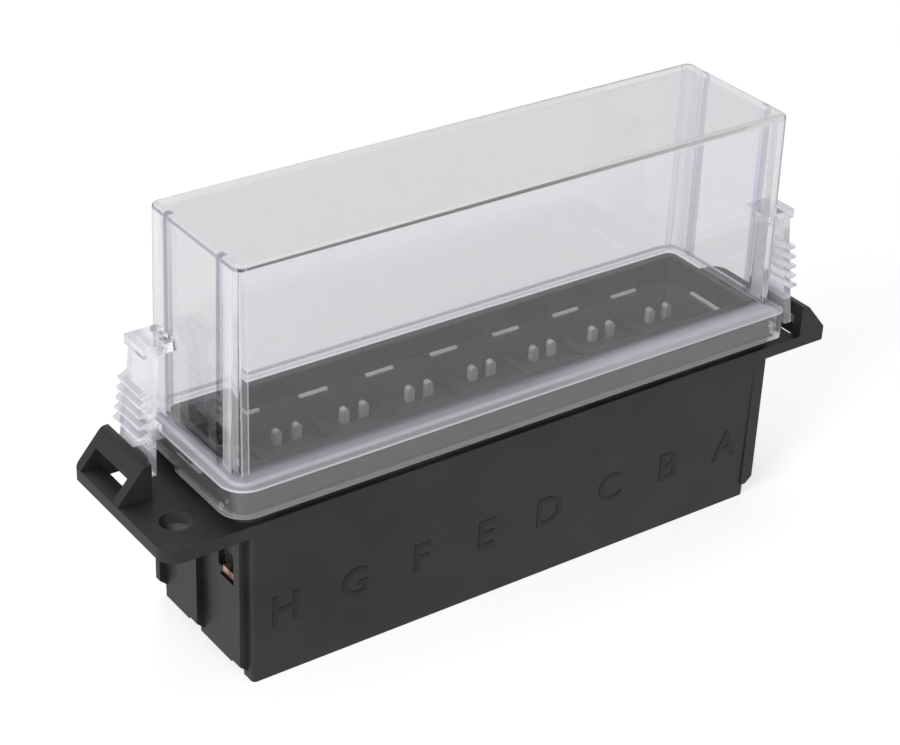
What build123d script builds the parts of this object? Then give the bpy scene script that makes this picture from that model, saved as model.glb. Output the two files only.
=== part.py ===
from build123d import *
import os

# Fuse box with eight ways in a row: a drafted black base with mounting ears, a contact carrier
# set into it from below, plug-in contacts, a copper busbar and a clear cover with two latches.
# Millimetres, +Z up, X along the row of ways, the underside of the base at z = 0.

# Ways and the trough over them
WAYS = "hgfedcba"
WAY_PITCH = 16.0
WAY_X = [(i - (len(WAYS) - 1) / 2) * WAY_PITCH for i in range(len(WAYS))]
PARTITION_X = [(a + b) / 2 for a, b in zip(WAY_X, WAY_X[1:])]
ROW_Y = 8.3
TROUGH_END = 3.6
TROUGH_SIDE = 1.7
TROUGH = (WAY_X[-1] + TROUGH_END, ROW_Y + TROUGH_SIDE)
TROUGH_CORNER = 1.0
FIT_GAP = 0.15
OVERRUN = 1.0

# Plan of the housing, from the trough outward
LEDGE_WIDTH = (2.3, 2.0)
MOUTH = (TROUGH[0] + LEDGE_WIDTH[0], TROUGH[1] + LEDGE_WIDTH[1])
MOUTH_CORNER = 1.0
COLLAR_WALL = (1.2, 1.8)
COLLAR = (MOUTH[0] + COLLAR_WALL[0], MOUTH[1] + COLLAR_WALL[1])
COLLAR_CORNER = 2.2
PLINTH_STEP = (2.5, 3.1)
PLINTH = (COLLAR[0] + PLINTH_STEP[0], COLLAR[1] + PLINTH_STEP[1])
PLINTH_CORNERS = (0.9, 3.8)
CARRIER_SEAT = 3.1
CAVITY = (MOUTH[0], MOUTH[1] + CARRIER_SEAT)
END_WALL = 1.3
SIDE_WALL = 2.35
BASE_FOOT = (CAVITY[0] + END_WALL, CAVITY[1] + SIDE_WALL)
BASE_DRAFT = (0.35, 0.45)
BASE_HEAD = (BASE_FOOT[0] + BASE_DRAFT[0], BASE_FOOT[1] + BASE_DRAFT[1])
BASE_CORNER = 0.9

# Heights of the housing
FLANGE_UNDER = 34.4
FLANGE_THICK = 2.7
FLANGE_TOP = FLANGE_UNDER + FLANGE_THICK
PLINTH_HEIGHT = 6.5
PLINTH_TOP = FLANGE_TOP + PLINTH_HEIGHT
COLLAR_HEIGHT = 3.3
COLLAR_TOP = PLINTH_TOP + COLLAR_HEIGHT
ROOF_WALL = 2.0
LEDGE = PLINTH_TOP - ROOF_WALL

# Recesses in the back wall of the mouth, one for each way
RECESS_WIDTH = 7.6
RECESS_HEIGHT = 3.0
RECESS_DEPTH = 0.7

# Stiffening ribs on the end walls, given for the left end and turned half round for the right
RIB_PROUD = 1.35
RIB_FOOT = 2.6
RIB_CHAMFER = 1.0
FRONT_RIB = (-15.3, -7.8)
BACK_RIB = (1.3, 9.0)
CORNER_RIB_WIDTH = 1.6
CORNER_RIB = (BASE_HEAD[1] - CORNER_RIB_WIDTH, BASE_HEAD[1])
CORNER_RIB_FOOT = 4.0
NOTCH_HEIGHT = 1.2
NOTCH_WIDTH = 4.8

# Clear cover, its skirt standing round the plinth
COVER_WALL = 1.6
COVER_GAP = (1.0, 0.6)
SKIRT = (PLINTH[0] + COVER_GAP[0] + COVER_WALL, PLINTH[1] + COVER_GAP[1] + COVER_WALL)
SKIRT_CORNERS = (1.9, 5.5)
SHOULDER_WIDTH = (2.4, 2.75)
CROWN_FOOT = (SKIRT[0] - SHOULDER_WIDTH[0], SKIRT[1] - SHOULDER_WIDTH[1])
CROWN_DRAFT = (0.5, 0.4)
CROWN_HEAD = (CROWN_FOOT[0] - CROWN_DRAFT[0], CROWN_FOOT[1] - CROWN_DRAFT[1])
CROWN_CORNER = 1.9
CROWN_EDGE = 0.8
SKIRT_GAP = 2.5
SKIRT_FOOT = FLANGE_TOP + SKIRT_GAP
SKIRT_HEIGHT = 6.3
SKIRT_TOP = SKIRT_FOOT + SKIRT_HEIGHT
SHOULDER_RISE = 1.4
CROWN_FOOT_Z = SKIRT_TOP + SHOULDER_RISE
CROWN_HEIGHT = 43.5
CROWN_TOP = CROWN_FOOT_Z + CROWN_HEIGHT
LATCH_RELIEF = 1.2
RELIEF_GAP = 0.4

# Catch loops and latches, given for the left end and turned half round for the right
LOOP_WIDTH = 17.2
LOOP_Y = (BASE_HEAD[1] - LOOP_WIDTH, BASE_HEAD[1])
LOOP_CHEEK = 2.3
LOOP_RISE = 7.2
LOOP_TOP = FLANGE_TOP + LOOP_RISE
LOOP_ROUND = 1.8
LOOP_FLAT = 1.5
LOOP_RUN = 6.0
WINDOW_HEIGHT = 4.2
WINDOW_TOP = FLANGE_TOP + WINDOW_HEIGHT

LATCH_Y = (LOOP_Y[0] + LOOP_Y[1]) / 2
LATCH_THICK = 1.8
LATCH_CLEAR = 1.6
LATCH_SIDE_GAP = 0.3
LATCH_LEAN = (0.0, 0.6, 1.6, 2.1)
TONGUE_WIDTH = LOOP_WIDTH - 2 * (LOOP_CHEEK + LATCH_SIDE_GAP)
LATCH_WIDTHS = (7.6, 8.2, 10.6, TONGUE_WIDTH)
TONGUE_GAP = 2.6
TONGUE_HEIGHT = 6.9
GRIP_HEIGHT = 12.0
NECK_HEIGHT = 7.6
TONGUE_FOOT = FLANGE_TOP + TONGUE_GAP
GRIP_FOOT = TONGUE_FOOT + TONGUE_HEIGHT
GRIP_TOP = GRIP_FOOT + GRIP_HEIGHT
LATCH_TOP = GRIP_TOP + NECK_HEIGHT
BRIDGE_HEIGHT = 2.0
LIP_PROUD = 1.2
GRIP_RIBS = 5
GRIP_PITCH = 2.25
GRIP_PROUD = 1.9
NUB_PROUD = 0.9
NUB_HEIGHT = 1.6

LOOP_GAP = 0.6
LOOP_INNER = SKIRT[0] + LATCH_CLEAR + LATCH_LEAN[-1] + LATCH_THICK + LOOP_GAP
EAR_SLOT = (0.8, 3.0)

# Ears, as long as the loops that they carry
EAR_HALF_LENGTH = LOOP_INNER + LOOP_FLAT + LOOP_RUN
EAR_CORNERS = (0.9, 3.8)
HOLE_R = 3.25
HOLE_INSET = (7.2, 9.2)
HOLE_AT = (HOLE_INSET[0] - EAR_HALF_LENGTH, HOLE_INSET[1] - BASE_HEAD[1])

# Contact carrier
CARRIER_HEIGHT = 17.9
CARRIER_UNDER = LEDGE - CARRIER_HEIGHT
TROUGH_DEPTH = 7.0
TROUGH_FLOOR = LEDGE - TROUGH_DEPTH
WAY_RIB = (1.6, 1.2)

# Contacts for 6.3 mm blades
CONTACT_WIDTH = 6.3
CONTACT_STOCK = 0.8
PRONG_SPACING = 4.7
PRONG_WIDTH = 1.6
PRONG_THICK = 1.5
PRONG_REACH = 3.2
PRONG_TIP = TROUGH_FLOOR + PRONG_REACH
NECK_DEPTH = 3.6
NECK_TOP = TROUGH_FLOOR - NECK_DEPTH
HEEL_DROP = 7.7
CONTACT_HEEL = CARRIER_UNDER - HEEL_DROP
TAIL_WIDTH = 3.2
TAIL_LENGTH = 9.0
TAIL_END = CONTACT_HEEL - TAIL_LENGTH
CRIMP_LENGTH = 5.0
CRIMP_HEIGHT = 3.0

# Busbar under the front row, its left end standing out of a slot in the end wall
BAR_WIDTH = 4.1
BAR_OFFSET = 0.6
BAR_Y = (-ROW_Y - BAR_OFFSET - BAR_WIDTH, -ROW_Y - BAR_OFFSET)
BAR_STOCK = 1.5
BAR_GAP = 0.1
BAR_TOP = CARRIER_UNDER - BAR_GAP
BAR_PROUD = 1.15
BAR_END = BASE_HEAD[0] + BAR_PROUD
SLOT_WIDTH = 8.15
SLOT_Y = (BAR_Y[0] - FIT_GAP, BAR_Y[0] - FIT_GAP + SLOT_WIDTH)
SLOT_DROP = 0.9
SLOT_FOOT = BAR_TOP - BAR_STOCK - SLOT_DROP

# Lock plates, embedded in the carrier's ledge
PLATE_LENGTH = 6.5
END_PLATE_LENGTH = 10.4
END_PLATE_Y = -1.5
PLATE_STOCK = 0.8
PLATE_PROUD = 0.35
PLATE_TOP = LEDGE + PLATE_PROUD
PLATE_DEPTH = 6.0
PLATE_INSET = 0.25


def block(x0, x1, y0, y1, z0, z1):
    """Box between two corners."""
    shape = Box(x1 - x0, y1 - y0, z1 - z0)
    return Pos((x0 + x1) / 2, (y0 + y1) / 2, (z0 + z1) / 2) * shape


def outline(half, corners):
    """Rectangle of two half sizes with two radii: one beside the loops, one beside the screw holes."""
    if isinstance(corners, float):
        return RectangleRounded(2 * half[0], 2 * half[1], corners)
    shape = Rectangle(2 * half[0], 2 * half[1])
    by_side = sorted(shape.vertices(), key=lambda v: v.X * v.Y)
    shape = fillet(by_side[:2], corners[0])
    by_side = sorted(shape.vertices(), key=lambda v: v.X * v.Y)
    return fillet(by_side[-2:], corners[1])


def plate(half, z0, z1, corners):
    """Upright body between two heights on a round-cornered rectangle."""
    return Pos(0, 0, z0) * extrude(outline(half, corners), z1 - z0)


def drafted(foot, z0, head, z1, foot_corners, head_corners):
    """Straight-sided body between two round-cornered rectangles."""
    low = Pos(0, 0, z0) * outline(foot, foot_corners)
    high = Pos(0, 0, z1) * outline(head, head_corners)
    return loft([low, high])


def shrink(half, by):
    return (half[0] - by, half[1] - by)


def both_ends(shape):
    """The shape at the left end and its copy turned half round at the right end."""
    return [shape, Rot(0, 0, 180) * shape]


def profile_xz(points, y0, y1):
    """Outline in the XZ plane drawn through from y0 to y1."""
    outline = Plane.XZ * make_face(Polyline(*points, close=True))
    return Pos(0, y1, 0) * extrude(outline, y1 - y0)


def end_rib(span, foot):
    """Rib on the left end wall, its lower end chamfered back to the wall."""
    outer = -(BASE_HEAD[0] + RIB_PROUD)
    outline = [
        (-CAVITY[0], foot - RIB_CHAMFER),
        (-BASE_FOOT[0], foot - RIB_CHAMFER),
        (outer, foot + RIB_CHAMFER / 2),
        (outer, FLANGE_TOP),
        (-CAVITY[0], FLANGE_TOP),
    ]
    return profile_xz(outline, span[0], span[1])


def catch_loop():
    """Sloped, round-topped loop on the left ear with the bar that the latch catches under."""
    outline = [
        (-EAR_HALF_LENGTH, FLANGE_TOP),
        (LOOP_RUN - EAR_HALF_LENGTH, LOOP_TOP),
        (-LOOP_INNER, LOOP_TOP),
        (-LOOP_INNER, FLANGE_TOP),
    ]
    side = make_face(Polyline(*outline, close=True))
    head = sorted(side.vertices(), key=lambda v: (-v.Y, v.X))[0]
    side = fillet(head, LOOP_ROUND)
    loop = Pos(0, LOOP_Y[1], 0) * extrude(Plane.XZ * side, LOOP_Y[1] - LOOP_Y[0])
    loop &= plate((EAR_HALF_LENGTH, BASE_HEAD[1]), FLANGE_TOP, LOOP_TOP, EAR_CORNERS)
    window = block(
        -EAR_HALF_LENGTH, -LOOP_INNER,
        LOOP_Y[0] + LOOP_CHEEK, LOOP_Y[1] - LOOP_CHEEK,
        FLANGE_TOP, WINDOW_TOP,
    )
    return loop - window


def make_housing():
    body = drafted(BASE_FOOT, 0, BASE_HEAD, FLANGE_UNDER, BASE_CORNER, BASE_CORNER)
    ribs = [end_rib(FRONT_RIB, RIB_FOOT), end_rib(BACK_RIB, RIB_FOOT), end_rib(CORNER_RIB, CORNER_RIB_FOOT)]
    for rib in ribs:
        for copy in both_ends(rib):
            body += copy
    body += plate((EAR_HALF_LENGTH, BASE_HEAD[1]), FLANGE_UNDER, FLANGE_TOP, EAR_CORNERS)
    body += plate(PLINTH, FLANGE_TOP, PLINTH_TOP, PLINTH_CORNERS)
    body += plate(COLLAR, PLINTH_TOP, COLLAR_TOP, COLLAR_CORNER)
    for loop in both_ends(catch_loop()):
        body += loop

    body -= block(-CAVITY[0], CAVITY[0], -CAVITY[1], CAVITY[1], -OVERRUN, LEDGE)
    body -= plate(MOUTH, LEDGE, COLLAR_TOP + OVERRUN, MOUTH_CORNER)
    for x in WAY_X:
        body -= block(
            x - RECESS_WIDTH / 2, x + RECESS_WIDTH / 2,
            MOUTH[1] - OVERRUN, MOUTH[1] + RECESS_DEPTH,
            LEDGE, LEDGE + RECESS_HEIGHT,
        )

    hole = Pos(*HOLE_AT, FLANGE_UNDER - OVERRUN) * extrude(Circle(HOLE_R), FLANGE_THICK + 2 * OVERRUN)
    for copy in both_ends(hole):
        body -= copy
    ear_slot = block(
        -LOOP_INNER - EAR_SLOT[1], -LOOP_INNER + EAR_SLOT[0],
        LOOP_Y[0] + LOOP_CHEEK, LOOP_Y[1] - LOOP_CHEEK,
        FLANGE_UNDER - OVERRUN, FLANGE_TOP + WINDOW_HEIGHT / 2,
    )
    for copy in both_ends(ear_slot):
        body -= copy
    for span in (FRONT_RIB, BACK_RIB):
        middle = (span[0] + span[1]) / 2
        notch = block(
            -BASE_HEAD[0] - RIB_PROUD - OVERRUN, -CAVITY[0] + OVERRUN,
            middle - NOTCH_WIDTH / 2, middle + NOTCH_WIDTH / 2,
            -OVERRUN, NOTCH_HEIGHT,
        )
        for copy in both_ends(notch):
            body -= copy

    bar_slot = block(
        -BASE_HEAD[0] - RIB_PROUD - OVERRUN, -CAVITY[0] + OVERRUN,
        SLOT_Y[0], SLOT_Y[1],
        SLOT_FOOT, FLANGE_UNDER,
    )
    body -= bar_slot
    return body


def make_carrier():
    """Tray set in from below: an open trough over all ways, low ribs between them, contact chambers."""
    body = block(
        -CAVITY[0] + FIT_GAP, CAVITY[0] - FIT_GAP,
        -CAVITY[1] + FIT_GAP, CAVITY[1] - FIT_GAP,
        CARRIER_UNDER, LEDGE,
    )
    body -= plate(TROUGH, TROUGH_FLOOR, LEDGE + OVERRUN, TROUGH_CORNER)
    for x in PARTITION_X:
        body += block(
            x - WAY_RIB[0] / 2, x + WAY_RIB[0] / 2,
            -TROUGH[1], TROUGH[1],
            TROUGH_FLOOR, TROUGH_FLOOR + WAY_RIB[1],
        )
    for x in WAY_X:
        for y in (-ROW_Y, ROW_Y):
            body -= block(
                x - CONTACT_WIDTH / 2 - FIT_GAP, x + CONTACT_WIDTH / 2 + FIT_GAP,
                y - PRONG_THICK / 2 - FIT_GAP, y + PRONG_THICK / 2 + FIT_GAP,
                CARRIER_UNDER - OVERRUN, TROUGH_FLOOR + OVERRUN,
            )
    for slot in [make_lock_plate(x, FIT_GAP) for x in PARTITION_X] + [make_end_plate(FIT_GAP)]:
        body -= slot
    return body


def make_lock_plate(x, gap=0.0):
    """Small plate standing in the carrier's back ledge between two ways."""
    y1 = MOUTH[1] - FIT_GAP - PLATE_INSET
    return block(
        x - PLATE_LENGTH / 2 - gap, x + PLATE_LENGTH / 2 + gap,
        y1 - PLATE_STOCK - gap, y1 + gap,
        PLATE_TOP - PLATE_DEPTH, PLATE_TOP + gap,
    )


def make_end_plate(gap=0.0):
    """Longer plate across the row at the right end of the ledge."""
    x1 = CAVITY[0] - FIT_GAP - PLATE_INSET
    return block(
        x1 - PLATE_STOCK - gap, x1 + gap,
        END_PLATE_Y - END_PLATE_LENGTH / 2 - gap, END_PLATE_Y + END_PLATE_LENGTH / 2 + gap,
        PLATE_TOP - PLATE_DEPTH, PLATE_TOP + gap,
    )


def prongs(x, y):
    """Two prongs with round tips standing on a flat contact body."""
    shapes = []
    for side in (-1, 1):
        px = x + side * PRONG_SPACING / 2
        stem = block(
            px - PRONG_WIDTH / 2, px + PRONG_WIDTH / 2,
            y - PRONG_THICK / 2, y + PRONG_THICK / 2,
            NECK_TOP - OVERRUN, PRONG_TIP - PRONG_WIDTH / 2,
        )
        tip = Pos(px, y, PRONG_TIP - PRONG_WIDTH / 2) * Rot(90, 0, 0) * Cylinder(PRONG_WIDTH / 2, PRONG_THICK)
        shapes += [stem, tip]
    return shapes


def make_way_contact(x):
    y = ROW_Y
    half = CONTACT_STOCK / 2
    body = block(x - CONTACT_WIDTH / 2, x + CONTACT_WIDTH / 2, y - half, y + half, CONTACT_HEEL, NECK_TOP)
    for shape in prongs(x, y):
        body += shape
    body += block(x - TAIL_WIDTH / 2, x + TAIL_WIDTH / 2, y - half, y + half, TAIL_END, CONTACT_HEEL + OVERRUN)
    for side in (-1, 1):
        wing_x = x + side * (TAIL_WIDTH / 2 - half)
        body += block(
            wing_x - half, wing_x + half,
            y - CRIMP_HEIGHT, y + half,
            TAIL_END, TAIL_END + CRIMP_LENGTH,
        )
    return body


def make_busbar():
    """Flat strip under the front row with one upright contact for each way."""
    bar = block(-BAR_END, TROUGH[0], BAR_Y[0], BAR_Y[1], BAR_TOP - BAR_STOCK, BAR_TOP)
    half = CONTACT_STOCK / 2
    for x in WAY_X:
        bar += block(
            x - CONTACT_WIDTH / 2, x + CONTACT_WIDTH / 2,
            BAR_Y[1] - OVERRUN, -ROW_Y + half,
            BAR_TOP - BAR_STOCK, BAR_TOP - BAR_STOCK + CONTACT_STOCK,
        )
        bar += block(
            x - CONTACT_WIDTH / 2, x + CONTACT_WIDTH / 2,
            -ROW_Y - half, -ROW_Y + half,
            BAR_TOP - BAR_STOCK, NECK_TOP,
        )
        for shape in prongs(x, -ROW_Y):
            bar += shape
    return bar


def latch_levels():
    """Height, inner face and width of the left latch's plate at each of its changes, from the foot up."""
    heights = (LATCH_TOP, GRIP_TOP, GRIP_FOOT, TONGUE_FOOT)
    inner = [SKIRT[0] + LATCH_CLEAR + lean for lean in LATCH_LEAN]
    return sorted(zip(heights, inner, LATCH_WIDTHS))


def latch_at(z):
    """Inner face and width of the latch's plate at a height."""
    levels = latch_levels()
    for low, high in zip(levels, levels[1:]):
        if z <= high[0]:
            break
    share = (z - low[0]) / (high[0] - low[0])
    return [a + (b - a) * share for a, b in zip(low[1:], high[1:])]


def latch_bar(points, width):
    """Outline in the XZ plane drawn through over a width of the latch."""
    return profile_xz(points, LATCH_Y - width / 2, LATCH_Y + width / 2)


def make_latch():
    """Left latch: a bridge from the crown's wall, a plate that leans out, a ribbed grip, a catch."""
    sections = [
        Pos(-inner - LATCH_THICK / 2, LATCH_Y, z) * Rectangle(LATCH_THICK, width)
        for z, inner, width in latch_levels()
    ]
    latch = loft(sections, ruled=True)

    inner, width = latch_at(LATCH_TOP)
    latch += block(
        -inner - LATCH_THICK - LIP_PROUD, -CROWN_HEAD[0] + COVER_WALL / 4,
        LATCH_Y - width / 2, LATCH_Y + width / 2,
        LATCH_TOP - BRIDGE_HEIGHT, LATCH_TOP,
    )
    for i in range(GRIP_RIBS):
        z = GRIP_TOP - (i + 0.5) * GRIP_PITCH
        inner, width = latch_at(z)
        root = -inner - LATCH_THICK / 2
        crest = -inner - LATCH_THICK - GRIP_PROUD
        rib = [
            (root, z + GRIP_PITCH * 0.42),
            (crest, z - GRIP_PITCH * 0.10),
            (crest, z - GRIP_PITCH * 0.34),
            (root, z - GRIP_PITCH * 0.42),
        ]
        latch += latch_bar(rib, width)

    nub_top = WINDOW_TOP - FIT_GAP
    inner, width = latch_at(nub_top)
    face = -inner - LATCH_THICK
    nub = [
        (face + LATCH_THICK / 2, nub_top),
        (face - NUB_PROUD, nub_top),
        (face, nub_top - NUB_HEIGHT),
        (face + LATCH_THICK / 2, nub_top - NUB_HEIGHT),
    ]
    latch += latch_bar(nub, LATCH_WIDTHS[2])
    return latch


def make_cover():
    crown = drafted(CROWN_FOOT, CROWN_FOOT_Z, CROWN_HEAD, CROWN_TOP, CROWN_CORNER, CROWN_CORNER)
    top_edges = crown.faces().sort_by(Axis.Z)[-1].edges()
    outer = fillet(top_edges, CROWN_EDGE)
    outer += drafted(SKIRT, SKIRT_TOP, CROWN_FOOT, CROWN_FOOT_Z, SKIRT_CORNERS, (CROWN_CORNER, CROWN_CORNER))
    outer += plate(SKIRT, SKIRT_FOOT, SKIRT_TOP, SKIRT_CORNERS)

    wall = COVER_WALL
    drop = wall / 3
    inner_corner = CROWN_CORNER - wall
    inner_skirt = shrink(SKIRT, wall)
    inner_foot = shrink(CROWN_FOOT, wall)
    skirt_corners = shrink(SKIRT_CORNERS, wall)
    inner = drafted(
        inner_foot, CROWN_FOOT_Z - drop,
        shrink(CROWN_HEAD, wall), CROWN_TOP - wall,
        inner_corner, inner_corner,
    )
    inner += drafted(
        inner_skirt, SKIRT_TOP - drop,
        inner_foot, CROWN_FOOT_Z - drop,
        skirt_corners, (inner_corner, inner_corner),
    )
    inner += plate(inner_skirt, SKIRT_FOOT - OVERRUN, SKIRT_TOP - drop, skirt_corners)
    shell = outer - inner

    relief_half = TONGUE_WIDTH / 2 + RELIEF_GAP
    relief = block(
        -SKIRT[0] - OVERRUN, -SKIRT[0] + wall + OVERRUN,
        LATCH_Y - relief_half, LATCH_Y + relief_half,
        SKIRT_FOOT - OVERRUN, SKIRT_FOOT + LATCH_RELIEF,
    )
    for copy in both_ends(relief):
        shell -= copy
    for latch in both_ends(make_latch()):
        shell += latch
    return shell


def save(shape, node):
    shape.label = node
    export_step(shape, f"parts/{node}.step")


os.makedirs("parts", exist_ok=True)
save(make_housing(), "housing")
save(make_carrier(), "contact_carrier")
save(make_cover(), "cover")
save(make_busbar(), "busbar")
for letter, way_x in zip(WAYS, WAY_X):
    save(make_way_contact(way_x), f"way_contact_{letter}")
for number, plate_x in enumerate(PARTITION_X, start=1):
    save(make_lock_plate(plate_x), f"lock_plate_{number}")
save(make_end_plate(), "end_lock_plate")
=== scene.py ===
# %% [markdown]
# # A fuse box under a clear cover
# The imported model already holds the black housing, the contact carrier, the metal contacts, the
# copper strip and the clear cover, each at its real size. This lesson gives them their finishes,
# adds the small moulded marks, and sets up a camera and a plain studio. First the frame is loaded.

# %% Load the frame
import math

import bpy
import numpy as np
from mathutils import Matrix, Vector


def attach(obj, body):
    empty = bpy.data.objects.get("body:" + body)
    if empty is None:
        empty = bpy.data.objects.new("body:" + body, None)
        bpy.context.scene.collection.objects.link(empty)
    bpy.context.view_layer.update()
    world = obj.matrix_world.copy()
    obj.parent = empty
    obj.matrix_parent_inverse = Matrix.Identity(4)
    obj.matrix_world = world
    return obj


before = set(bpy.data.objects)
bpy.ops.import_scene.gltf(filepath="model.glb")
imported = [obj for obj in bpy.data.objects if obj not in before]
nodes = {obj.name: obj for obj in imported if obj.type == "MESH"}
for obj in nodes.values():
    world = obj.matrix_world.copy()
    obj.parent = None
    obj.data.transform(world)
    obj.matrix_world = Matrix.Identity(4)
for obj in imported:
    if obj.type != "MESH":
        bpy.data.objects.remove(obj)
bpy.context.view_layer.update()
MM = 0.001

# %% [markdown]
# ## Helpers for materials
# A colour picker shows sRGB hex values, but shaders work in linear light, so one function turns
# one into the other. One more function adds any node, sets its values and links its inputs. It
# could be done by hand in the shader editor, but in a script each node then takes one line.
# All patterns below read Object coordinates in metres, so a pattern with a real size of so many
# millimetres gets a scale of one over that size.


# %% Colour, scale and node helpers
def linear(hex_code, alpha=1.0):
    """sRGB hex to linear: v/12.92 below 0.04045, else ((v+0.055)/1.055) to the power 2.4."""
    srgb = np.array([int(hex_code[i:i + 2], 16) for i in (1, 3, 5)]) / 255.0
    flat = np.where(srgb <= 0.04045, srgb / 12.92, ((srgb + 0.055) / 1.055) ** 2.4)
    return (*[float(v) for v in flat], alpha)


def per_mm(size):
    """Scale of a pattern whose features are size millimetres apart: one over size in metres."""
    return 1.0 / (size * MM)


def add(material, kind, values=None, links=None, stops=(), **settings):
    """Add one node: settings on it, values and links on its inputs, (place, hex) ramp stops."""
    made = material.node_tree.nodes.new(kind)
    for name, value in settings.items():
        setattr(made, name, value)
    for name, value in (values or {}).items():
        made.inputs[name].default_value = value
    for name, source in (links or {}).items():
        material.node_tree.links.new(source, made.inputs[name])
    if stops:
        elements = made.color_ramp.elements
        while len(elements) < len(stops):
            elements.new(0.5)
        for element, (position, hex_code) in zip(elements, stops):
            element.position = position
            element.color = linear(hex_code)
    return made


def new_material(name):
    """A node material with nothing in it."""
    material = bpy.data.materials.new(name)
    material.use_nodes = True
    material.node_tree.nodes.clear()
    return material


def finish_material(material, shader):
    """Lead the shader node's first output to the surface and print the material's size."""
    add(material, "ShaderNodeOutputMaterial", links={"Surface": shader.outputs[0]})
    print("material", material.name, "nodes", len(material.node_tree.nodes))
    return material


print("mid grey in linear light", [round(v, 3) for v in linear("#808080")])

# %% [markdown]
# ## The camera
# The camera stands to the left, in front and above, and it leans a little to one side. Its place
# is given by two angles and a distance from an aim point, which is easier to read and to change
# than a matrix. Azimuth 0 looks along +Y, and a negative one moves the camera to the left.

# %% Camera
VIEW_AZIMUTH = math.radians(-36.55)
VIEW_ELEVATION = math.radians(30.41)
VIEW_ROLL = math.radians(2.58)
VIEW_DISTANCE = 478.75 * MM
VIEW_AIM = Vector((-3.41, 3.63, 41.14)) * MM
VIEW_LENS = 93.46  # millimetres, as on a lens
SENSOR_WIDTH = 36.0
NEAREST = 0.01  # metres

level = Vector((math.cos(VIEW_AZIMUTH), math.sin(VIEW_AZIMUTH), 0.0))
back = Vector((
    math.sin(VIEW_AZIMUTH) * math.cos(VIEW_ELEVATION),
    -math.cos(VIEW_AZIMUTH) * math.cos(VIEW_ELEVATION),
    math.sin(VIEW_ELEVATION),
))
upright = back.cross(level)
camera_x = level * math.cos(VIEW_ROLL) + upright * math.sin(VIEW_ROLL)
camera_y = upright * math.cos(VIEW_ROLL) - level * math.sin(VIEW_ROLL)
turn = Matrix((camera_x, camera_y, back)).transposed().to_4x4()

lens = bpy.data.cameras.new("studio_camera")
lens.lens = VIEW_LENS
lens.sensor_width = SENSOR_WIDTH
lens.clip_start = NEAREST
camera = bpy.data.objects.new("studio_camera", lens)
bpy.context.scene.collection.objects.link(camera)
camera.matrix_world = Matrix.Translation(VIEW_AIM + back * VIEW_DISTANCE) @ turn
bpy.context.scene.camera = camera
print("camera at mm", [round(v / MM, 1) for v in camera.matrix_world.translation])

# %% [markdown]
# ## The studio
# A product picture has a white ground and a soft light from all round. The white comes from what
# camera and see-through rays meet, and mirrors meet one that is a little darker, so neither adds
# light to the object. The floor is a large sheet of paper. In this light it would look grey, so
# for the camera it is lifted by what it lacks to be white, and then it only darkens in the
# object's shadow. More light would whiten it too, but it would also wash out the black plastic.

# %% World and floor
WORLD_LIGHT = 0.24
MIRROR_LIGHT = 0.80
WHITE = 1.0  # the strength at which a picture is just white
FLOOR_LIFT = 0.57  # what the paper lacks to be white

scene = bpy.context.scene
scene.view_settings.view_transform = "Standard"
world = bpy.data.worlds.new("studio_world")
scene.world = world
world.use_nodes = True
world.node_tree.nodes.clear()


def light_by_ray(owner, surroundings, mirrored, seen):
    """Mix three shaders: seen where the ray is camera or see-through, mirrored where it is
    gloss, and surroundings for all the soft light."""
    path = add(owner, "ShaderNodeLightPath").outputs
    direct = add(
        owner, "ShaderNodeMath", operation="MAXIMUM",
        links={0: path["Is Camera Ray"], 1: path["Is Transmission Ray"]},
    )
    by_gloss = add(
        owner, "ShaderNodeMixShader",
        links={0: path["Is Glossy Ray"], 1: surroundings, 2: mirrored},
    )
    return add(
        owner, "ShaderNodeMixShader",
        links={0: direct.outputs[0], 1: by_gloss.outputs[0], 2: seen},
    )


def plain_light(owner, kind, strength):
    """White light of one strength, from a Background or an Emission node."""
    return add(owner, kind, {"Color": linear("#FFFFFF"), "Strength": strength}).outputs[0]


world_light, world_gleam, world_white = (
    plain_light(world, "ShaderNodeBackground", strength)
    for strength in (WORLD_LIGHT, MIRROR_LIGHT, WHITE)
)
world_mix = light_by_ray(world, world_light, world_gleam, world_white)
add(world, "ShaderNodeOutputWorld", links={"Surface": world_mix.outputs[0]})

FLOOR_HALF = 1.6  # metres
CORNERS = ((-1, -1), (1, -1), (1, 1), (-1, 1))
floor_mesh = bpy.data.meshes.new("studio_floor")
floor_corners = [(x * FLOOR_HALF, y * FLOOR_HALF, 0) for x, y in CORNERS]
floor_mesh.from_pydata(floor_corners, [], [(0, 1, 2, 3)])
floor = bpy.data.objects.new("studio_floor", floor_mesh)
scene.collection.objects.link(floor)

floor_paper = new_material("matt white studio paper")
paper = add(floor_paper, "ShaderNodeBsdfDiffuse", {"Color": linear("#F4F4F4")}).outputs[0]
paper_gleam, paper_lift = (
    plain_light(floor_paper, "ShaderNodeEmission", strength)
    for strength in (MIRROR_LIGHT, FLOOR_LIFT)
)
lifted_paper = add(floor_paper, "ShaderNodeAddShader", links={0: paper, 1: paper_lift}).outputs[0]
finish_material(floor_paper, light_by_ray(floor_paper, paper, paper_gleam, lifted_paper))
floor_mesh.materials.append(floor_paper)

# %% [markdown]
# ## The lamps
# Three large square lamps shape the black plastic, on which only soft, broad lights show well.
# The key lamp stands to the left, one is high at the back and one low in front. A small lamp
# would leave hard bright spots. Rays that pass the clear cover don't see the lamps, because a
# lamp behind the cover would show there as a pale patch.

# %% Lamps
LAMP_AIM = Vector((0.0, 0.0, 0.045))


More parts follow.
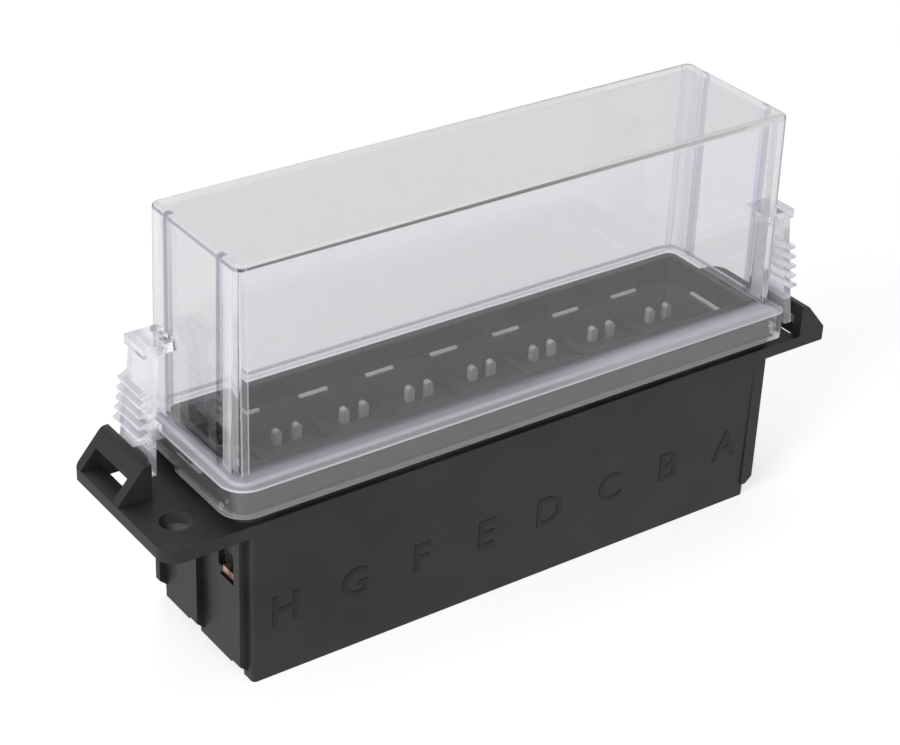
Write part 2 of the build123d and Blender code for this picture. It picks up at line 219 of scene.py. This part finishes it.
def soft_lamp(name, place, size, watts):
    """A square area lamp of the given size in metres, turned towards the aim point."""
    data = bpy.data.lights.new(name, "AREA")
    data.size = size
    data.energy = watts
    lamp = bpy.data.objects.new(name, data)
    scene.collection.objects.link(lamp)
    lamp.location = place
    lamp.visible_transmission = False
    lamp.rotation_euler = (LAMP_AIM - Vector(place)).to_track_quat("-Z", "Y").to_euler()


soft_lamp("key_lamp", (-0.95, -0.30, 0.30), 0.5, 7.0)
soft_lamp("back_lamp", (0.30, 0.45, 1.00), 0.6, 1.8)
soft_lamp("front_lamp", (-0.15, -1.0, 0.35), 0.6, 3.0)
print("lamps", len(bpy.data.lights))

# %% [markdown]
# ## Black moulded plastic
# The housing is a glass-filled polyamide and the carrier an ABS, both pressed in a mould. Such
# black is never a pure black: it mirrors a few parts in a hundred, the eroded mould face gives it
# a fine grain, and flow during moulding leaves faint cloudy changes in gloss. The grain could be
# cut into the mesh, but it is far too fine for that, so it is a small noise in the bump. It is
# drawn at 0.35 mm, coarser than the real one, so that it shows. The flow is a slow noise in colour
# and roughness. Where the mould is polished, inside the marks, the grain is nearly gone. Less
# sheen stands for a face on which the glass fibres break the mirror.

# %% Black plastics
GRAIN_MM = 0.35
GRAIN_STRENGTH = 0.25
FLOW_MM = 14.0
FLOW_LOW, FLOW_HIGH = 0.30, 0.70
PLASTIC_IOR = 1.53
GLOSSIER, DULLER = 0.05, 0.06


def moulded_black(name, dark, light, roughness, grain_depth_mm, sheen):
    """Black plastic: a slow noise moves the colour from dark to light and the roughness by a
    few hundredths, and a fine noise raises a grain of the given depth."""
    material = new_material(name)
    coords = add(material, "ShaderNodeTexCoord").outputs["Object"]
    flow = add(
        material, "ShaderNodeTexNoise",
        {"Scale": per_mm(FLOW_MM), "Detail": 3.0, "Roughness": 0.5}, {"Vector": coords},
    ).outputs["Fac"]
    grain = add(
        material, "ShaderNodeTexNoise",
        {"Scale": per_mm(GRAIN_MM), "Detail": 2.0, "Roughness": 0.6}, {"Vector": coords},
    ).outputs["Fac"]
    tone = add(
        material, "ShaderNodeValToRGB", links={"Fac": flow},
        stops=((FLOW_LOW, dark), (FLOW_HIGH, light)),
    )
    gloss = add(
        material, "ShaderNodeMapRange",
        {
            "From Min": FLOW_LOW, "From Max": FLOW_HIGH,
            "To Min": roughness - GLOSSIER, "To Max": roughness + DULLER,
        },
        {"Value": flow},
    )
    bump = add(
        material, "ShaderNodeBump",
        {"Strength": GRAIN_STRENGTH, "Distance": grain_depth_mm * MM},
        {"Height": grain},
    )
    plastic = add(
        material, "ShaderNodeBsdfPrincipled",
        {"IOR": PLASTIC_IOR, "Metallic": 0.0, "Specular IOR Level": sheen},
        {
            "Base Color": tone.outputs["Color"],
            "Roughness": gloss.outputs["Result"],
            "Normal": bump.outputs["Normal"],
        },
    )
    return finish_material(material, plastic)


housing_plastic = moulded_black(
    "glass-filled polyamide, moulded black", "#161617", "#262627", 0.48, 0.04, 0.38,
)
polished_plastic = moulded_black(
    "glass-filled polyamide, polished marks", "#181819", "#1F1F20", 0.40, 0.01, 0.28,
)
carrier_plastic = moulded_black("ABS, moulded black", "#303030", "#3C3C3D", 0.45, 0.03, 0.60)

# %% [markdown]
# ## Masks on the clear cover
# The cover's finish changes from place to place, so it needs masks: values that are 1 in one
# place and 0 elsewhere. They could be painted by hand on an image, but measures along X, Y and Z
# are exact and stay sharp at any size. Three small functions are enough: a smooth step, a
# stripe made of two steps, and rules for putting masks together.

# %% Masks by place
clear_plastic = new_material("polycarbonate, clear moulded")
clear_coords = add(clear_plastic, "ShaderNodeTexCoord").outputs["Object"]
spot = add(clear_plastic, "ShaderNodeSeparateXYZ", links={"Vector": clear_coords}).outputs


def rise(source, low_mm, high_mm, height=1.0):
    """Smooth step from 0 at low to the given height at high: 3t^2 - 2t^3."""
    return add(
        clear_plastic, "ShaderNodeMapRange",
        {"From Min": low_mm * MM, "From Max": high_mm * MM, "To Max": height},
        {"Value": source}, interpolation_type="SMOOTHSTEP",
    ).outputs["Result"]


def both(first, second):
    """A mask only where both masks are: their product."""
    return add(
        clear_plastic, "ShaderNodeMath", operation="MULTIPLY", links={0: first, 1: second},
    ).outputs[0]


def strongest(*masks):
    """The largest of the masks at each place."""
    most = masks[0]
    for mask in masks[1:]:
        most = add(
            clear_plastic, "ShaderNodeMath", operation="MAXIMUM", links={0: most, 1: mask},
        ).outputs[0]
    return most


def stripe(source, low_mm, high_mm, height=1.0, soft_mm=0.4):
    """The given height between low and high, and 0 beyond: a step up times a step down, each
    spread over soft_mm to either side."""
    entered = rise(source, low_mm - soft_mm, low_mm + soft_mm, height)
    left = rise(source, high_mm + soft_mm, high_mm - soft_mm)
    return both(entered, left)


out_x, out_y = (
    add(clear_plastic, "ShaderNodeMath", operation="ABSOLUTE", links={0: spot[axis]}).outputs[0]
    for axis in ("X", "Y")
)
print("nodes for the masks' inputs", len(clear_plastic.node_tree.nodes))

# %% [markdown]
# ## Where the clear cover turns milky, with painted reflections and highlights
# Where the wall turns, and in the thicker latches, some light is caught and scattered, so those
# parts are made milky: the sloped shoulder, the rim of the skirt, an upright band beside each
# corner of the crown, the top edge and the latches. Except in the latches, these pale bands are
# also painted reflection, standing in for the white surroundings that the turning wall bends and
# mirrors. A thin painted highlight line runs where two faces meet. The shoulder and the long top
# edges are painted lighter to the right, as the light falls there. Milk is the share of the light
# that the plastic scatters and doesn't let through. True bending of light in a wall this thin
# would make these places much too dark, so they are set by place. All places are in
# millimetres, from the object's middle along X and Y and from its foot along Z.

# %% Places on the cover
# For a step, where it begins and where it is full
RIM_Z = (40.1, 39.7)
SKIRT_Z = (46.4, 45.4)
SHOULDER_FOOT_Z = (45.5, 45.8)
SHOULDER_HEAD_Z = (48.0, 46.1)
CROWN_Z = (46.8, 47.8)
TOP_Z = (89.6, 90.6)
TOP_EDGE_Y = (14.2, 14.8)
TOP_EDGE_Z = (89.1, 89.7)
SIDE_WALL_Y = (15.2, 15.8)
LATCH_X = (68.5, 69.6)
# For a stripe, its two sides
SHOULDER_Z = (45.8, 48.0)
SHOULDER_LINE_Z = (45.5, 46.0)
END_WALL_X = (63.8, 67.0)
CORNER_BAND_X = (63.3, 64.6)
CORNER_BAND_Y = (11.3, 14.1)
# For a thin painted highlight line, its middle
HIGHLIGHT_LINES_X = (64.6, 63.3)
HIGHLIGHT_LINES_Y = (11.4, 14.0)
LINE_HALF, LINE_SOFT = 0.1, 0.2
SHOULDER_LINE_SOFT = 0.15

on_crown = rise(spot["Z"], *CROWN_Z)
on_end = both(stripe(out_x, *END_WALL_X), on_crown)
on_side = both(rise(out_y, *SIDE_WALL_Y), on_crown)
on_shoulder = both(rise(spot["Z"], *SHOULDER_FOOT_Z), rise(spot["Z"], *SHOULDER_HEAD_Z))
on_top_edge = both(rise(out_y, *TOP_EDGE_Y), rise(spot["Z"], *TOP_EDGE_Z))
print("nodes with the places", len(clear_plastic.node_tree.nodes))

# %% Milk and painted light
MILK_BODY = 0.01
MILK_SKIRT = 0.03
# Painted light: the shoulder's milk is partly painted reflection, and it grows to the right as the
# light falls there
SHOULDER_MILK_AND_PAINTED_LIGHT, SHOULDER_PAINTED_LIGHT_RIGHT = 0.38, 0.28
# Painted highlight: the thin bright lines where two faces of the wall meet
PAINTED_HIGHLIGHT_MILK = 0.72
RIM_MILK_AND_PAINTED_LIGHT = 0.15
CORNER_MILK_AND_PAINTED_LIGHT = 0.36
EDGE_MILK_AND_PAINTED_LIGHT = 0.16
TOP_MILK_AND_PAINTED_LIGHT = 0.20
TOP_EDGE_MILK_AND_PAINTED_LIGHT = 0.70
MILK_LATCH = 0.28
SHOULDER_PAINTED_LIGHT_X = (0.0, 30.0)
TOP_EDGE_PAINTED_LIGHT_X = (-30.0, 60.0)


def painted_highlight_line(source, middle_mm):
    """A thin painted highlight line round the middle, where two faces of the wall meet."""
    return stripe(source, middle_mm - LINE_HALF, middle_mm + LINE_HALF, PAINTED_HIGHLIGHT_MILK, LINE_SOFT)


shoulder_milk_plus_painted_light = add(
    clear_plastic, "ShaderNodeMath", {1: SHOULDER_MILK_AND_PAINTED_LIGHT},
    {0: rise(spot["X"], *SHOULDER_PAINTED_LIGHT_X, SHOULDER_PAINTED_LIGHT_RIGHT)}, operation="ADD",
).outputs[0]
# Milk and painted light together: the bands are partly painted reflection, the lines painted
# highlights, and the rise to the right is painted light
milky_and_painted_light_places = strongest(
    both(on_shoulder, shoulder_milk_plus_painted_light),
    both(on_top_edge, rise(spot["X"], *TOP_EDGE_PAINTED_LIGHT_X, TOP_EDGE_MILK_AND_PAINTED_LIGHT)),
    stripe(spot["Z"], *SHOULDER_LINE_Z, PAINTED_HIGHLIGHT_MILK, SHOULDER_LINE_SOFT),
    rise(spot["Z"], *SKIRT_Z, MILK_SKIRT),
    rise(spot["Z"], *RIM_Z, RIM_MILK_AND_PAINTED_LIGHT),
    both(on_end, stripe(out_y, *CORNER_BAND_Y, CORNER_MILK_AND_PAINTED_LIGHT)),
    *[both(on_end, painted_highlight_line(out_y, middle)) for middle in HIGHLIGHT_LINES_Y],
    both(on_side, stripe(out_x, *CORNER_BAND_X, EDGE_MILK_AND_PAINTED_LIGHT)),
    *[both(on_side, painted_highlight_line(out_x, middle)) for middle in HIGHLIGHT_LINES_X],
    rise(spot["Z"], *TOP_Z, TOP_MILK_AND_PAINTED_LIGHT),
    rise(out_x, *LATCH_X, MILK_LATCH),
)
milk_and_painted_light = add(
    clear_plastic, "ShaderNodeMath", {1: MILK_BODY}, {0: milky_and_painted_light_places}, operation="ADD",
).outputs[0]
print("milk from", MILK_BODY, "to", MILK_BODY + PAINTED_HIGHLIGHT_MILK)

# %% [markdown]
# ## Painted shade and a cold tint on the clear cover
# Beside each pale band of the end walls runs a grey band of painted shade, which stands for the
# light that the inner corner turns away, and it is painted weaker at the right end. A dark line of
# painted shade runs along the top of the end walls. The round corners, the latches and the shoulder
# have a faint cold tint. One mask holds both: its low values stand for the cold tint and its high
# values for the painted shade, and a colour ramp turns it into colours.

# %% Painted shade and cold places
# Painted shade: grey bands beside the end walls' pale bands, weaker to the right, and a dark line
# along the top of the end walls
PAINTED_SHADE_BAND, PAINTED_SHADE_BAND_RIGHT = 0.62, 0.38
PAINTED_SHADE_EDGE = 0.50
COLD_CORNER = 0.08
COLD_LATCH = 0.03
COLD_SHOULDER = 0.07
PAINTED_SHADE_BAND_Y, PAINTED_SHADE_BAND_SOFT = (8.8, 10.3), 0.3
PAINTED_SHADE_EDGE_Z, PAINTED_SHADE_EDGE_SOFT = (89.9, 90.5), 0.2
PAINTED_SHADE_FADE_X = (0.0, 60.0)
ROUND_CORNER_Y = (15.2, 15.7)
# The grey and dark stops are the colours of the painted shade; the first two are the cover's tint
TINT_AND_SHADE_STOPS = ((0.0, "#EBEBED"), (0.25, "#B6BADC"), (0.32, "#A8A8B0"), (1.0, "#15151A"))

painted_shade_height = add(
    clear_plastic, "ShaderNodeMath", {0: PAINTED_SHADE_BAND},
    {1: rise(spot["X"], *PAINTED_SHADE_FADE_X, PAINTED_SHADE_BAND - PAINTED_SHADE_BAND_RIGHT)}, operation="SUBTRACT",
).outputs[0]
# One mask: painted shade in its high values, the cold tint in its low ones
tint_and_painted_shade = strongest(
    both(on_end, both(stripe(out_y, *PAINTED_SHADE_BAND_Y, 1.0, PAINTED_SHADE_BAND_SOFT), painted_shade_height)),
    both(on_end, rise(out_y, *ROUND_CORNER_Y, COLD_CORNER)),
    both(on_end, stripe(spot["Z"], *PAINTED_SHADE_EDGE_Z, PAINTED_SHADE_EDGE, PAINTED_SHADE_EDGE_SOFT)),
    rise(out_x, *LATCH_X, COLD_LATCH),
    stripe(spot["Z"], *SHOULDER_Z, COLD_SHOULDER),
)
cover_tint_and_painted_shade = add(clear_plastic, "ShaderNodeValToRGB", links={"Fac": tint_and_painted_shade}, stops=TINT_AND_SHADE_STOPS)
print("tints", [hex_code for _, hex_code in TINT_AND_SHADE_STOPS])

# %% [markdown]
# ## Clear moulded plastic
# The cover is polycarbonate, clear with a faint cold tint, and its mould was polished. Light
# goes almost straight through such a thin wall, and the polished skin mirrors a few parts in a
# hundred at each face, which lays a pale veil over what stands behind. One glass shader would
# bend the light far too much at the edges, so the body bends it a little and a coat on it does
# the mirroring, with a slow wave, because a moulded wall is never quite flat. Light that falls
# on the parts inside passes the walls without being bent, so they are lit as in the open.

# %% Clear plastic
WAVE_MM = 22.0
WAVE_STRENGTH = 0.10
WAVE_DEPTH_MM = 0.05
POLISH = 0.02
BODY_IOR = 1.15
COAT_IOR = 1.50

wave = add(
    clear_plastic, "ShaderNodeTexNoise",
    {"Scale": per_mm(WAVE_MM), "Detail": 1.0, "Roughness": 0.4}, {"Vector": clear_coords},
)
wave_bump = add(
    clear_plastic, "ShaderNodeBump",
    {"Strength": WAVE_STRENGTH, "Distance": WAVE_DEPTH_MM * MM},
    {"Height": wave.outputs["Fac"]},
)
clearness = add(
    clear_plastic, "ShaderNodeMath", {0: 1.0}, {1: milk_and_painted_light}, operation="SUBTRACT",
).outputs[0]
clear_wall = add(
    clear_plastic, "ShaderNodeBsdfPrincipled",
    {
        "Roughness": POLISH, "IOR": BODY_IOR, "Metallic": 0.0,
        "Coat Weight": 1.0, "Coat Roughness": POLISH, "Coat IOR": COAT_IOR,
    },
    {
        "Base Color": cover_tint_and_painted_shade.outputs["Color"],
        "Transmission Weight": clearness,
        "Coat Normal": wave_bump.outputs["Normal"],
    },
)
straight = add(clear_plastic, "ShaderNodeBsdfTransparent", {"Color": linear("#F6F6F7")})
light_path = add(clear_plastic, "ShaderNodeLightPath").outputs
for_light = strongest(light_path["Is Shadow Ray"], light_path["Is Diffuse Ray"])
cover_shader = add(
    clear_plastic, "ShaderNodeMixShader",
    links={0: for_light, 1: clear_wall.outputs[0], 2: straight.outputs[0]},
)
finish_material(clear_plastic, cover_shader)

# %% [markdown]
# ## Metals
# The contacts are tin plated, which is a pale, soft grey with fine rolling lines. The lock plates
# show their sheared edges, which are bright but matt, so they catch light from all over and not
# from one side. The busbar is bare copper that has gone a little brown. A metal's colour is its
# reflection, so Metallic is 1 and the hex value is what it mirrors. The rolling lines are a noise
# drawn out along the row, which takes one Mapping node where scratches in the mesh would take
# thousands of faces. They are drawn at 0.25 mm, coarser than real ones, so that they show.

# %% Metals
ROLL_MM = 0.25
ROLL_DRAWN_OUT = (0.06, 1.0, 1.0)
ROLL_STRENGTH = 0.2
ROLL_DEPTH_MM = 0.02
STAIN_MM = 4.0
STAIN_LOW, STAIN_HIGH = 0.35, 0.65


def sheet_metal(name, clean, stained, roughness):
    """Sheet metal: a slow noise moves the colour from stained to clean, and a fine noise that is
    drawn out along X raises the rolling lines."""
    material = new_material(name)
    coords = add(material, "ShaderNodeTexCoord").outputs["Object"]
    drawn_out = add(material, "ShaderNodeMapping", {"Scale": ROLL_DRAWN_OUT}, {"Vector": coords})
    lines = add(
        material, "ShaderNodeTexNoise", {"Scale": per_mm(ROLL_MM), "Detail": 2.0},
        {"Vector": drawn_out.outputs["Vector"]},
    )
    stain = add(
        material, "ShaderNodeTexNoise", {"Scale": per_mm(STAIN_MM), "Detail": 3.0},
        {"Vector": coords},
    )
    tone = add(
        material, "ShaderNodeValToRGB", links={"Fac": stain.outputs["Fac"]},
        stops=((STAIN_LOW, stained), (STAIN_HIGH, clean)),
    )
    bump = add(
        material, "ShaderNodeBump",
        {"Strength": ROLL_STRENGTH, "Distance": ROLL_DEPTH_MM * MM},
        {"Height": lines.outputs["Fac"]},
    )
    metal = add(
        material, "ShaderNodeBsdfPrincipled", {"Metallic": 1.0, "Roughness": roughness},
        {"Base Color": tone.outputs["Color"], "Normal": bump.outputs["Normal"]},
    )
    return finish_material(material, metal)


tin_plate = sheet_metal("brass strip, tin plated", "#FCFCF8", "#E6E6E2", 0.62)
bright_plate = sheet_metal("spring steel, bright plated", "#FCFCFA", "#ECECEA", 0.70)
bare_copper = sheet_metal("copper strip, bare", "#DDBBA6", "#5A3426", 0.42)

# %% [markdown]
# ## Dress the nodes
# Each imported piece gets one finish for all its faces. Four pieces are named in a small table. The
# eight contacts share the tin plating and the rest are the bright lock plates, so a rule on the
# names is shorter than a list of all of them, and it can't miss one.

# %% Put the finishes on the frame's nodes
FINISHES = {
    "housing": housing_plastic,
    "contact_carrier": carrier_plastic,
    "cover": clear_plastic,
    "busbar": bare_copper,
}
for name, node in nodes.items():
    finish = FINISHES.get(name)
    if finish is None:
        finish = tin_plate if name.startswith("way_contact") else bright_plate
    for mark in node.material_slots:
        mark.material = finish
print("finished nodes", len(nodes))

# %% [markdown]
# ## Way marks
# Each way has one plain letter on the front wall, standing a hair proud of it, as moulded marks
# do. The mould is polished inside the letters, so they look darker than the grained wall. They
# could be drawn as a bump, but real edges catch the light better. A text object gives the
# letter's outline; it is turned into a mesh, leaned with the wall's draft and set a little into
# it, with its place in the mesh itself.

# %% Marks on the front wall
WAYS = "HGFEDCBA"
WAY_PITCH = 16.0
MARK_HEIGHT = 6.8
MARK_MIDDLE = 15.3
MARK_PROUD = 0.12
MARK_SUNK = 0.30
STROKE_SWELL = 0.012
STROKE_STEPS = 4
# The front wall leans: where its foot and its head stand, and how high its head is
WALL_FOOT_Y = -17.45
WALL_HEAD_Y = -17.9
WALL_HEAD_Z = 34.4


def wall_mark(letter, x):
    """One raised letter centred at x: the outline is scaled to the mark's height, its front is
    moved to the leaning wall less the proud height, and its back to the wall plus the sunk one."""
    curve = bpy.data.curves.new(f"mark_{letter}", "FONT")
    curve.body = letter
    curve.align_x = "CENTER"
    curve.extrude = 0.5  # any depth does, because front and back are placed below
    curve.offset = STROKE_SWELL
    curve.resolution_u = STROKE_STEPS
    flat = bpy.data.objects.new(f"mark_outline_{letter}", curve)
    scene.collection.objects.link(flat)
    bpy.context.view_layer.update()
    mesh = bpy.data.meshes.new_from_object(flat)
    bpy.data.objects.remove(flat)
    points = np.empty(len(mesh.vertices) * 3)
    mesh.vertices.foreach_get("co", points)
    points = points.reshape(-1, 3)
    low, high = points.min(axis=0), points.max(axis=0)
    scale = MARK_HEIGHT / (high[1] - low[1])
    across = (points[:, 0] - (low[0] + high[0]) / 2) * scale + x
    height = (points[:, 1] - low[1]) * scale + MARK_MIDDLE - MARK_HEIGHT / 2
    wall = WALL_FOOT_Y + (WALL_HEAD_Y - WALL_FOOT_Y) * height / WALL_HEAD_Z
    depth = np.where(points[:, 2] > 0, wall - MARK_PROUD, wall + MARK_SUNK)
    placed = np.column_stack([across, depth, height]) * MM
    mesh.vertices.foreach_set("co", placed.ravel())
    mesh.update()
    mesh.materials.append(polished_plastic)
    piece = bpy.data.objects.new(f"way_mark_{letter.lower()}", mesh)
    scene.collection.objects.link(piece)
    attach(piece, "base")


for place, letter in enumerate(WAYS):
    wall_mark(letter, (place - (len(WAYS) - 1) / 2) * WAY_PITCH)
print("marks", len(WAYS))
